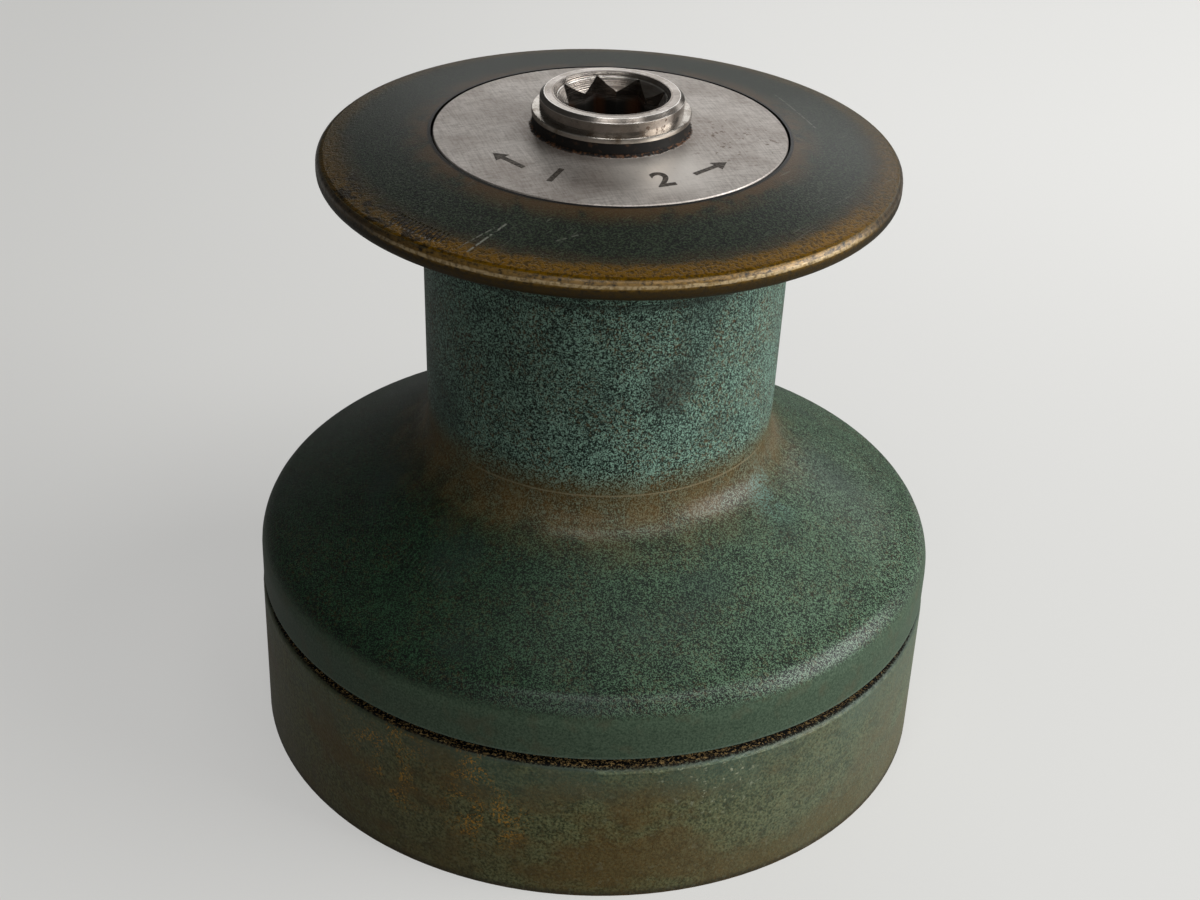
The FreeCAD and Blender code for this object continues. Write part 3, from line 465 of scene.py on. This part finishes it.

# The cap: a turned steel disc let into the crown of the drum, a little higher in the middle, with
# a low boss under the spindle's washer and a fine bevel round its edge. It is satin with scratches
# every way, brown specks, and old dirt packed round the boss; where the boss goes under the washer
# it is painted near black as shade as well as dirt.

CAP_OUTLINE = (
    (0.01640, 0.14710), (0.03920, 0.14710), (0.03920, 0.14985), (0.03900, 0.15010), (0.03000, 0.15062),
    (0.02200, 0.15106), (0.01800, 0.15130), (0.01730, 0.15145), (0.01720, 0.15185), (0.01640, 0.15185),
    (0.01640, 0.14710),
)
CAP_SIDES = 192
BOSS_EDGE = 0.0177
BOSS_GRIME = (0.0225, 0.0180)
HIGHLIGHT_SPOT = ((0.011, -0.022, 0.150), 0.016)
BROWN_SPOT = ((0.028, -0.004, 0.150), 0.017)
HAIRLINES = ((1900, 26, 0.5), (1700, 30, 1.9), (1800, 24, -0.7))
LONG_SCRATCH = ((-0.022, 0.022), (-0.014, 0.004), 0.0002)
BRUSHING_TURNS = (0.3, 1.9)

DULL_STEEL = tint(174, 165, 157)
SATIN_STEEL = tint(200, 193, 186)
SATIN_SHADE = tint(112, 102, 94)
HAIRLINE_LIGHT = tint(222, 217, 210)
BRUSHING_SHADE = tint(118, 108, 100)
HIGHLIGHT_STEEL = tint(246, 240, 232)
SPOT_BROWN = tint(92, 70, 50)
GRIME_BROWN = tint(98, 80, 64)
DIRT_AND_SHADE_BLACK = tint(22, 17, 13)
DIRT_BROWN = tint(98, 66, 42)


def turned_piece(name, outline, around):
    """A ring turned from its outline, a closed run of radius and level, with so many sides."""
    radius, level = outline[0]
    bpy.ops.object.select_all(action="DESELECT")
    bpy.ops.mesh.primitive_circle_add(vertices=around, radius=radius, location=(0, 0, level))
    piece = bpy.context.object
    piece.name = name
    bpy.ops.object.transform_apply(location=True)
    bpy.ops.object.mode_set(mode="EDIT")
    bpy.ops.mesh.select_all(action="SELECT")
    for next_radius, next_level in outline[1:]:
        bpy.ops.mesh.extrude_region_move(TRANSFORM_OT_translate={"value": (0, 0, next_level - level)})
        share = next_radius / radius
        bpy.ops.transform.resize(value=(share, share, 1), center_override=(0, 0, next_level))
        radius, level = next_radius, next_level
    bpy.ops.mesh.select_all(action="SELECT")
    bpy.ops.mesh.remove_doubles(threshold=1e-6)
    bpy.ops.mesh.normals_make_consistent(inside=False)
    bpy.ops.object.mode_set(mode="OBJECT")
    bpy.ops.object.shade_smooth_by_angle(angle=math.radians(25))
    return piece


cap_disc = turned_piece("cap_disc", CAP_OUTLINE, CAP_SIDES)

cap = Finish("satin_steel")
cap_clouds = cap.noise(90, 3.0)
satin = cap.noise(1300, 3.0, 0.65)
hairlines = greatest(
    *(cap.noise(scale, 1.0, stretch=(length, 1, 1), turn=turn).between(0.62, 0.68)
      for scale, length, turn in HAIRLINES),
    scratch(cap, *LONG_SCRATCH))
brushing = sum(
    cap.noise(2800, 1.0, stretch=(16, 1, 1), turn=turn).between(0.44, 0.62) for turn in BRUSHING_TURNS)
brown_spots = cap.noise(520, 3.0, 0.6).between(0.6, 0.68) * (0.12 + cap.near(*BROWN_SPOT) * 0.8)
grime = cap.radius.between(*BOSS_GRIME) * cap_clouds.between(0.3, 0.6)
boss_side = (cap.radius + (satin - 0.5) * 0.0014).between(BOSS_EDGE + 0.0004, BOSS_EDGE)
cap.shade(
    Base_Color=cap.layers(
        DULL_STEEL,
        (SATIN_STEEL, cap_clouds.between(0.35, 0.65)),
        (SATIN_SHADE, satin.between(0.5, 0.75) * 0.4),
        (HAIRLINE_LIGHT, hairlines * 0.12),
        (BRUSHING_SHADE, brushing * 0.22),
        # painted highlight: a bright patch on the disc in front of the boss
        (HIGHLIGHT_STEEL, cap.near(*HIGHLIGHT_SPOT) * 0.7),
        (SPOT_BROWN, brown_spots),
        (GRIME_BROWN, grime * 0.5),
        # painted shade and dirt: the side of the boss under the washer is near black with brown crumbs
        (cap.layers(DIRT_AND_SHADE_BLACK, (DIRT_BROWN, cap.noise(1200, 2.0).between(0.45, 0.65))), boss_side)),
    Metallic=0.7 - greatest(boss_side, brown_spots) * 0.6,
    Roughness=0.37 + satin * 0.12 + boss_side * 0.4 + cap_clouds * 0.06 - hairlines * 0.04,
    Normal=cap.relief((satin, 0.00001), (cap.noise(1100, 2.0) * boss_side, 0.0005)),
)
cap_disc.data.materials.append(cap.material)
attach(cap_disc, "drum")
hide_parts("top_cap")

# The speed marks etched in the cap: a plain 1 with an arrow the way the handle turns for the fast
# speed, and a plain 2 with an arrow the other way for the slow one.

MARK_RADIUS = 0.0290
MARK_LEVEL = 0.15068
MARK_DEPTH = 0.00003
CAP_SLOPE = math.radians(3.15)
NUMERAL_HEIGHT = 0.0088
NUMERAL_BOLDNESS = 0.0002
SHAFT_LENGTH = 0.0070
SHAFT_WIDTH = 0.0012
HEAD_PLACE = 0.0042
HEAD_RADIUS = 0.0022

ETCHED_GREY = tint(70, 64, 58)
WORN_ETCHING = tint(120, 112, 104)

etching = Finish("etched_marks")
etch_wear = etching.noise(1500, 2.0).between(0.35, 0.75)
etching.shade(
    Base_Color=etching.layers(ETCHED_GREY, (WORN_ETCHING, etch_wear)),
    Metallic=0.7,
    Roughness=0.6,
)


def lay_on_cap(mark, bearing):
    """Lays a mark drawn about the origin on the cap, its foot towards the cap's edge."""
    turn = math.radians(bearing)
    mark.location = (MARK_RADIUS * math.cos(turn), MARK_RADIUS * math.sin(turn), MARK_LEVEL)
    mark.rotation_euler = (CAP_SLOPE, 0, turn + math.pi / 2)
    bpy.ops.object.select_all(action="DESELECT")
    mark.select_set(True)
    bpy.context.view_layer.objects.active = mark
    bpy.ops.object.transform_apply(location=True, rotation=True, scale=True)
    mark.data.materials.clear()
    mark.data.materials.append(etching.material)
    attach(mark, "drum")


for figure, bearing in (("1", -113), ("2", -67)):
    bpy.ops.object.select_all(action="DESELECT")
    bpy.ops.object.text_add(location=(0, 0, 0))
    numeral = bpy.context.object
    numeral.name = "speed_" + figure
    numeral.data.body = figure
    numeral.data.size = NUMERAL_HEIGHT
    numeral.data.align_x = "CENTER"
    numeral.data.align_y = "CENTER"
    numeral.data.offset = NUMERAL_BOLDNESS
    numeral.data.extrude = MARK_DEPTH
    bpy.ops.object.convert(target="MESH")
    lay_on_cap(numeral, bearing)

for name, bearing, way in (("fast_arrow", -135, -1), ("slow_arrow", -45, 1)):
    bpy.ops.object.select_all(action="DESELECT")
    bpy.ops.mesh.primitive_plane_add(size=SHAFT_WIDTH, location=(0, 0, 0))
    arrow = bpy.context.object
    arrow.name = name
    bpy.ops.object.mode_set(mode="EDIT")
    bpy.ops.transform.resize(value=(SHAFT_LENGTH / SHAFT_WIDTH, 1, 1), center_override=(0, 0, 0))
    bpy.ops.mesh.primitive_circle_add(
        vertices=3, radius=HEAD_RADIUS, fill_type="NGON", location=(way * HEAD_PLACE, 0, 0),
        rotation=(0, 0, -way * math.pi / 2))
    bpy.ops.mesh.select_all(action="SELECT")
    bpy.ops.mesh.extrude_region_move(TRANSFORM_OT_translate={"value": (0, 0, MARK_DEPTH)})
    bpy.ops.mesh.select_all(action="SELECT")
    bpy.ops.mesh.normals_make_consistent(inside=False)
    bpy.ops.object.mode_set(mode="OBJECT")
    lay_on_cap(arrow, bearing)

# The spindle: a steel shaft with a round head. Its mouth is countersunk, with the rings of the
# tool still in it, and the eight-pointed handle socket below is dark, with rust down its corners.

SOCKET_MOUTH = 0.1543
SOCKET_CORNERS = (0.0100, 0.0118)
SOCKET_SIDE = (0.0128, 0.0122)
MOUTH_SIDE = (0.0135, 0.0130)
HEAD_TOP = (0.1575, 0.1580)
OUTER_RIM = (0.15820, 0.15832)
TOP_RIM = (0.01490, 0.01505)
SHAFT_BELOW = (0.1400, 0.1300)
RIGHT_SPOT = ((0.011, -0.013, 0.1565), 0.008)

HEAD_STEEL = tint(160, 153, 146)
HEAD_TARNISH = tint(120, 110, 100)
RING_BROWN = tint(92, 72, 54)
HEAD_DIRT = tint(74, 54, 38)
RIM_HIGHLIGHT = tint(216, 212, 206)
SOCKET_DARK = tint(40, 37, 34)
SOCKET_RUST = tint(104, 64, 38)
SHAFT_STEEL = tint(120, 112, 100)
SHAFT_RUST = tint(96, 72, 50)

spindle = Finish("spindle_steel")
tool_rings = spindle.tool_marks(2600)
tarnish = spindle.noise(90, 3.0, 0.55)
in_mouth = spindle.radius.between(*MOUTH_SIDE)
in_socket = spindle.radius.between(*SOCKET_SIDE)
in_socket = in_socket * spindle.z.between(SOCKET_MOUTH + 0.0006, SOCKET_MOUTH - 0.0014)
head_dirt = spindle.noise(900, 2.0).between(0.56, 0.66) * (0.2 + spindle.near(*RIGHT_SPOT) * 0.7)
# painted highlight: thin bright lines on the head's sharp rims
rim_highlights = greatest(spindle.z.band(*OUTER_RIM, 0.0001), spindle.radius.band(*TOP_RIM, 0.0001))
corner_rust = spindle.noise(260, 2.0, stretch=(1, 1, 12)).between(0.4, 0.6)
corner_rust = corner_rust * spindle.radius.between(*SOCKET_CORNERS)
socket_wall = spindle.layers(SOCKET_DARK, (SOCKET_RUST, corner_rust * 0.7))
shaft_below = spindle.layers(SHAFT_STEEL, (SHAFT_RUST, tarnish.between(0.4, 0.6)))
spindle.shade(
    Base_Color=spindle.layers(
        HEAD_STEEL,
        (HEAD_TARNISH, tarnish.between(0.4, 0.7)),
        (RING_BROWN, tool_rings.between(0.5, 0.65) * in_mouth * 0.6),
        (HEAD_DIRT, head_dirt),
        (RIM_HIGHLIGHT, rim_highlights * spindle.z.between(*HEAD_TOP) * 0.7),
        (socket_wall, in_socket),
        (shaft_below, spindle.z.between(*SHAFT_BELOW) * (1 - in_socket))),
    Metallic=1 - greatest(in_socket * 0.35, head_dirt * 0.6),
    Roughness=0.17 + tarnish * 0.14 + in_socket * 0.25,
    Normal=spindle.relief((tool_rings * (0.3 + in_mouth), 0.00006)),
)
spindle.dress("main_spindle")

# The washer and circlip that hold the spindle up: a black plastic ring, and over it a polished
# spring-steel ring sprung into a groove in the head. The bushes, the roller cages, their spacer
# and the thrust washer inside are of the same plastic.

CLIP_OUTLINE = (
    (0.01490, 0.15450), (0.01510, 0.15430), (0.01732, 0.15430), (0.01746, 0.15433), (0.01757, 0.15444),
    (0.01760, 0.15458), (0.01760, 0.15532), (0.01757, 0.15546), (0.01746, 0.15557), (0.01732, 0.15560),
    (0.01510, 0.15560), (0.01490, 0.15540), (0.01490, 0.15450),
)
CLIP_SIDES = 154
HALF_GAP = math.radians(7.05)

SPRING_STEEL = tint(176, 170, 162)
SPRING_TARNISH = tint(116, 104, 90)
BLACK_PLASTIC = tint(16, 14, 12)
BROWN_DUST = tint(70, 50, 34)

circlip = Finish("spring_steel")
clip_tarnish = circlip.noise(240, 3.0, 0.6)
circlip.shade(
    Base_Color=circlip.layers(SPRING_STEEL, (SPRING_TARNISH, clip_tarnish.between(0.45, 0.7))),
    Metallic=1.0,
    Roughness=0.18 + clip_tarnish * 0.16,
)

sprung_clip = turned_piece("sprung_circlip", CLIP_OUTLINE, CLIP_SIDES)
bpy.ops.object.mode_set(mode="EDIT")
bpy.ops.mesh.select_mode(type="FACE")
bpy.ops.mesh.select_all(action="DESELECT")
bpy.ops.object.mode_set(mode="OBJECT")
for face in sprung_clip.data.polygons:
    face.select = abs(math.atan2(face.center.x, face.center.y)) < HALF_GAP
bpy.ops.object.mode_set(mode="EDIT")
bpy.ops.mesh.delete(type="FACE")
bpy.ops.mesh.select_mode(type="VERT")
bpy.ops.mesh.select_all(action="SELECT")
bpy.ops.mesh.fill_holes(sides=0)
bpy.ops.mesh.select_all(action="SELECT")
bpy.ops.mesh.normals_make_consistent(inside=False)
bpy.ops.object.mode_set(mode="OBJECT")
bpy.ops.object.shade_smooth_by_angle(angle=math.radians(35))
sprung_clip.data.materials.append(circlip.material)
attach(sprung_clip, "spindle")
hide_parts("spindle_circlip")

plastic = Finish("black_plastic")
dust = plastic.noise(600, 3.0, 0.6)
plastic.shade(
    Base_Color=plastic.layers(BLACK_PLASTIC, (BROWN_DUST, dust.between(0.55, 0.75))),
    Roughness=0.5 + dust * 0.2,
    Normal=plastic.relief((dust, 0.00004)),
    Specular_IOR_Level=0.25,
)
plastic.dress("spindle_washer", "foot_bush", "head_bush", "thrust_washer", "lower_roller_cage",
              "upper_roller_cage", "bearing_spacer")

# The works inside: a bronze stem that carries the drum on steel rollers, bronze and steel gears
# cut with involute teeth, and the pawls that click over the ratchets. All is oiled and dark.

GEAR_BRONZE = tint(158, 126, 74)
OILY_BRONZE = tint(92, 74, 44)
OILED_STEEL = tint(150, 146, 140)
OILY_BROWN = tint(84, 72, 58)

gears = Finish("gear_bronze")
gear_oil = gears.noise(140, 3.0, 0.6)
gears.shade(
    Base_Color=gears.layers(GEAR_BRONZE, (OILY_BRONZE, gear_oil.between(0.42, 0.68))),
    Metallic=1.0,
    Roughness=0.28 + gear_oil * 0.2,
    Normal=gears.relief((gears.tool_marks(2600), 0.00004)),
)
gears.dress("centre_stem", "drum_ring_gear", "first_speed_gear", "second_speed_gear")

shafts = Finish("oiled_steel")
shaft_oil = shafts.noise(180, 3.0, 0.6)
shafts.shade(
    Base_Color=shafts.layers(OILED_STEEL, (OILY_BROWN, shaft_oil.between(0.45, 0.7))),
    Metallic=1.0,
    Roughness=0.24 + shaft_oil * 0.2,
)
shafts.dress("second_gear_pin", "inner_idler_pin", "outer_idler_pin", "lower_rollers", "upper_rollers",
             "inner_idler_gear", "outer_idler_gear", "second_speed_pinion",
             "stem_screw_1", "stem_screw_2", "stem_screw_3", "stem_screw_4",
             "spindle_pawl_1", "spindle_pawl_2", "pinion_pawl_1", "pinion_pawl_2")

# The floor: a pale plain table. Seen straight or in metal it has part of its own light, as a
# bright studio gives it, and the winch's soft shadow lies on the rest.

FLOOR_SIZE = 8.0
FLOOR_GLOW = 0.42
GLOW_IN_METAL = 0.3
FAR_LIGHT = (0.0, 0.4)
RIGHT_LIGHT = (-0.3, 0.15)

TABLE_GREY = tint(132, 132, 128)
TABLE_RIGHT = tint(164, 164, 161)
TABLE_FAR = tint(198, 198, 195)
NO_GLOW = (0.0, 0.0, 0.0, 1.0)
WARM_GLOW = (1.0, 0.995, 0.98, 1.0)

bpy.ops.mesh.primitive_plane_add(size=FLOOR_SIZE, location=(0, 0, 0))
floor = bpy.context.object
floor.name = "floor"
table = Finish("floor_white")
seen_straight = table.node("ShaderNodeLightPath", output="Is Camera Ray")
seen_in_metal = table.node("ShaderNodeLightPath", output="Is Glossy Ray")
right_light = table.x.between(*RIGHT_LIGHT)
far_light = table.y.between(*FAR_LIGHT) * (0.1 + right_light * 0.6)
seen_table = table.layers(TABLE_GREY, (TABLE_RIGHT, right_light), (TABLE_FAR, far_light))
glow = greatest(seen_straight, seen_in_metal * GLOW_IN_METAL)
table.shade(
    Base_Color=table.layers(TABLE_GREY, (seen_table, seen_straight)),
    Emission_Color=table.layers(NO_GLOW, (WARM_GLOW, glow)),
    Emission_Strength=FLOOR_GLOW,
    Roughness=0.95,
    Specular_IOR_Level=0.1,
)
floor.data.materials.append(table.material)

# The light: a wide soft window low on the right, a small softbox above it, and weak lamps over the
# winch, in front of it and behind it, in a room that is dark on the left.

ROOM_LIGHT = (1.0, 1.0, 0.97, 1.0)
ROOM_STRENGTH = 0.055
LAMP_AIM = Vector((0, 0, 0.08))

world = bpy.data.worlds.new("studio")
bpy.context.scene.world = world
world.use_nodes = True
room = world.node_tree.nodes["Background"]
room.inputs["Color"].default_value = ROOM_LIGHT
room.inputs["Strength"].default_value = ROOM_STRENGTH


def lamp(name, bearing, elevation, distance, width, height, power):
    """A lamp at a bearing and elevation in degrees, a distance from the winch and turned to it."""
    a, e = math.radians(bearing), math.radians(elevation)
    outwards = Vector((math.cos(a) * math.cos(e), math.sin(a) * math.cos(e), math.sin(e)))
    light = bpy.data.lights.new(name, "AREA")
    light.shape = "RECTANGLE"
    light.size, light.size_y = width, height
    light.energy = power
    holder = bpy.data.objects.new(name, light)
    bpy.context.scene.collection.objects.link(holder)
    holder.location = LAMP_AIM + outwards * distance
    holder.rotation_mode = "QUATERNION"
    holder.rotation_quaternion = outwards.to_track_quat("Z", "Y")


lamp("window", -8, 22, 1.6, 1.3, 1.0, 29)
lamp("softbox", -44, 55, 1.6, 0.6, 0.35, 3.4)
lamp("ceiling", -98, 63, 1.6, 0.6, 0.3, 2.6)
lamp("front_card", -92, 29, 1.6, 1.6, 0.55, 2.2)
lamp("back_window", 73, 23, 2.0, 2.2, 0.65, 7.5)

# The camera stands where the photograph was taken from, looking down at the middle of the winch.
# Its place, aim and focal length were worked out from the winch's own circles.

PHOTO_WIDTH = 1200
FOCAL_PIXELS = 2031
SENSOR_WIDTH = 36.0
CAMERA_PLACE = Vector((0.0, -0.41934, 0.32256))
CAMERA_AIM = Vector((0.0005, 0.0, 0.0678))
CAMERA_ROLL = math.radians(2.347)

camera = bpy.data.objects.new("camera", bpy.data.cameras.new("camera"))
bpy.context.scene.collection.objects.link(camera)
camera.data.sensor_width = SENSOR_WIDTH
camera.data.lens = FOCAL_PIXELS / PHOTO_WIDTH * SENSOR_WIDTH
camera.location = CAMERA_PLACE
camera.rotation_mode = "QUATERNION"
upright = (CAMERA_AIM - CAMERA_PLACE).to_track_quat("-Z", "Y")
camera.rotation_quaternion = upright @ Quaternion((0, 0, 1), CAMERA_ROLL)
bpy.context.scene.camera = camera
bpy.context.scene.view_settings.view_transform = "Standard"
